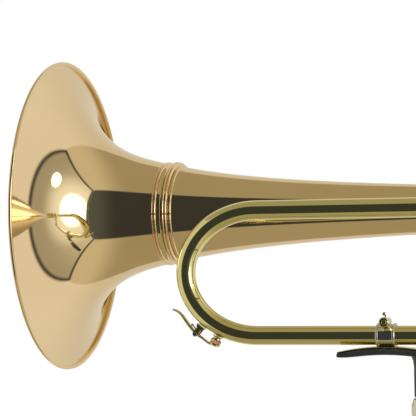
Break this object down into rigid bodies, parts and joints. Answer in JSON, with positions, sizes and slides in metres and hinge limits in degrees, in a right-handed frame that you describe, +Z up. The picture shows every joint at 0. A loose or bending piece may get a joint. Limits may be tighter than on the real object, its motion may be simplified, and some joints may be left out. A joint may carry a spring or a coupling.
{
  "type": "contrabass trombone",
  "caption": "Bass-register trombone with a wide flared bell on a ring joint, long hand slide with a clamped extension handle, rotary valves with tuned loops and a main tuning slide.",
  "frame": {"origin": "middle of the left-hand grip brace, halfway between the two inner slide tubes", "axes": "+X from the bell mouth towards the main tuning slide, along the slide; +Y from the hand slide towards the bell; +Z up from the mouthpiece leg to the bell-side leg"},
  "size_m": [1.3286, 0.3292, 0.4212],
  "materials": {
    "gold_brass": "polished, clear lacquer",
    "yellow_brass": "polished, clear lacquer",
    "nickel_silver": "polished nickel silver",
    "steel": "bright steel",
    "silver_plate": "polished silver plate",
    "black_leather": "smooth grain",
    "cork": "bare",
    "black_wood": "oiled"
  },
  "bodies": {
    "trombone_body": {"bell_flare": "gold_brass", "bell_receiver": "nickel_silver", "bell_stem": "gold_brass", "flare_ring": "gold_brass", "front_bell_brace": "yellow_brass", "gooseneck_tuning_sleeve": "yellow_brass", "hand_grip_brace": "nickel_silver", "lever_1_post": "yellow_brass", "lever_2_post": "yellow_brass", "lower_cork_barrel": "nickel_silver", "lower_inner_tube": "nickel_silver", "mouthpiece_receiver": "nickel_silver", "rear_bell_brace": "yellow_brass", "stem_ring": "gold_brass", "stem_tuning_sleeve": "yellow_brass", "upper_cork_barrel": "nickel_silver", "upper_inner_tube": "nickel_silver", "valve_1_bearing_plate": "yellow_brass", "valve_1_casing": "yellow_brass", "valve_1_inner_loop_tube": "yellow_brass", "valve_1_outer_loop_tube": "yellow_brass", "valve_2_bearing_plate": "yellow_brass", "valve_2_casing": "yellow_brass", "valve_2_inner_loop_tube": "yellow_brass", "valve_2_outer_loop_tube": "yellow_brass"},
    "hand_slide": {"upper_outer_tube": "yellow_brass", "lower_outer_tube": "yellow_brass", "slide_bow": "yellow_brass", "outer_slide_brace": "yellow_brass", "drain_nipple": "yellow_brass", "water_key_saddle": "yellow_brass", "water_key_screw": "steel", "handle_collar": "nickel_silver", "hand_rest": "yellow_brass", "hand_rest_leather": "black_leather", "handle_core": "yellow_brass", "handle_ferrule": "yellow_brass"},
    "water_key": {"water_key_lever": "yellow_brass", "water_key_cork": "cork", "water_key_spring": "steel"},
    "collar_screw": {"collar_screw": "nickel_silver"},
    "swivel_grip": {"handle_grip": "black_wood", "handle_cap": "yellow_brass"},
    "slide_lock": {"slide_lock_ring": "nickel_silver"},
    "bell_lock": {"bell_lock_nut": "nickel_silver"},
    "mouthpiece": {"mouthpiece": "silver_plate"},
    "main_tuning_slide": {"bell_side_tuning_leg": "nickel_silver", "gooseneck_side_tuning_leg": "nickel_silver", "main_tuning_bow": "yellow_brass", "main_tuning_brace": "yellow_brass"},
    "valve_1_slide": {"valve_1_tuning_slide": "yellow_brass"},
    "lever_1": {"thumb_lever_1": "yellow_brass"},
    "rotor_1": {"valve_1_rotor": "nickel_silver", "valve_1_stop_arm": "yellow_brass"},
    "link_1": {"valve_1_link": "steel"},
    "valve_2_slide": {"valve_2_tuning_slide": "yellow_brass"},
    "lever_2": {"thumb_lever_2": "yellow_brass"},
    "rotor_2": {"valve_2_rotor": "nickel_silver", "valve_2_stop_arm": "yellow_brass"},
    "link_2": {"valve_2_link": "steel"}
  },
  "joints": [
    {"name": "hand_slide_travel", "type": "slide", "parent": "trombone_body", "child": "hand_slide", "axis": [-1, 0, 0], "range_m": [0, 0.6]},
    {"name": "water_key_hinge", "type": "hinge", "parent": "hand_slide", "child": "water_key", "pos_m": [-0.79928, 0, -0.05004], "axis": [0, 1, 0], "range_deg": [0, 15], "stiffness_Nm_per_rad": 0.03, "springref_deg": -20.05},
    {"name": "collar_screw_turn", "type": "hinge", "parent": "hand_slide", "child": "collar_screw", "pos_m": [-0.6375, 0, -0.0405], "axis": [0, 1, 0], "continuous": true},
    {"name": "grip_swivel", "type": "hinge", "parent": "hand_slide", "child": "swivel_grip", "pos_m": [-0.609, 0, -0.12], "axis": [0, 0, 1], "continuous": true},
    {"name": "slide_lock_turn", "type": "hinge", "parent": "trombone_body", "child": "slide_lock", "pos_m": [-0.057, 0, -0.0515], "axis": [1, 0, 0], "range_deg": [0, 40]},
    {"name": "bell_lock_turn", "type": "hinge", "parent": "trombone_body", "child": "bell_lock", "pos_m": [0.025, 0, 0.0515], "axis": [1, 0, 0], "continuous": true},
    {"name": "mouthpiece_pull", "type": "slide", "parent": "trombone_body", "child": "mouthpiece", "axis": [1, 0, 0], "range_m": [0, 0.03]},
    {"name": "main_tuning_pull", "type": "slide", "parent": "trombone_body", "child": "main_tuning_slide", "axis": [1, 0, 0], "range_m": [0, 0.045]},
    {"name": "valve_1_tuning_pull", "type": "slide", "parent": "trombone_body", "child": "valve_1_slide", "axis": [-1, 0, 0], "range_m": [0, 0.055]},
    {"name": "lever_1_hinge", "type": "hinge", "parent": "trombone_body", "child": "lever_1", "pos_m": [0.044, 0.019, 0.0515], "axis": [0, 1, 0], "range_deg": [0, 24], "stiffness_Nm_per_rad": 0.15, "springref_deg": -11.46},
    {"name": "rotor_1_turn", "type": "hinge", "parent": "trombone_body", "child": "rotor_1", "pos_m": [0.087, 0, 0.0515], "axis": [0, 0, -1], "range_deg": [0, 90]},
    {"name": "link_1_travel", "type": "slide", "parent": "trombone_body", "child": "link_1", "axis": [1, 0, 0], "range_m": [0, 0.0125]},
    {"name": "valve_2_tuning_pull", "type": "slide", "parent": "trombone_body", "child": "valve_2_slide", "axis": [-1, 0, 0], "range_m": [0, 0.055]},
    {"name": "lever_2_hinge", "type": "hinge", "parent": "trombone_body", "child": "lever_2", "pos_m": [0.044, -0.019, 0.0515], "axis": [0, 1, 0], "range_deg": [0, 24], "stiffness_Nm_per_rad": 0.15, "springref_deg": -11.46},
    {"name": "rotor_2_turn", "type": "hinge", "parent": "trombone_body", "child": "rotor_2", "pos_m": [0.151, 0, 0.0515], "axis": [0, 0, 1], "range_deg": [0, 90]},
    {"name": "link_2_travel", "type": "slide", "parent": "trombone_body", "child": "link_2", "axis": [1, 0, 0], "range_m": [0, 0.0125]}
  ],
  "couplings": [
    {"joint": "rotor_1_turn", "follows": "lever_1_hinge", "ratio": 3.75},
    {"joint": "link_1_travel", "follows": "lever_1_hinge", "m_per_rad": 0.02978},
    {"joint": "rotor_2_turn", "follows": "lever_2_hinge", "ratio": 3.75},
    {"joint": "link_2_travel", "follows": "lever_2_hinge", "m_per_rad": 0.02978}
  ]
}
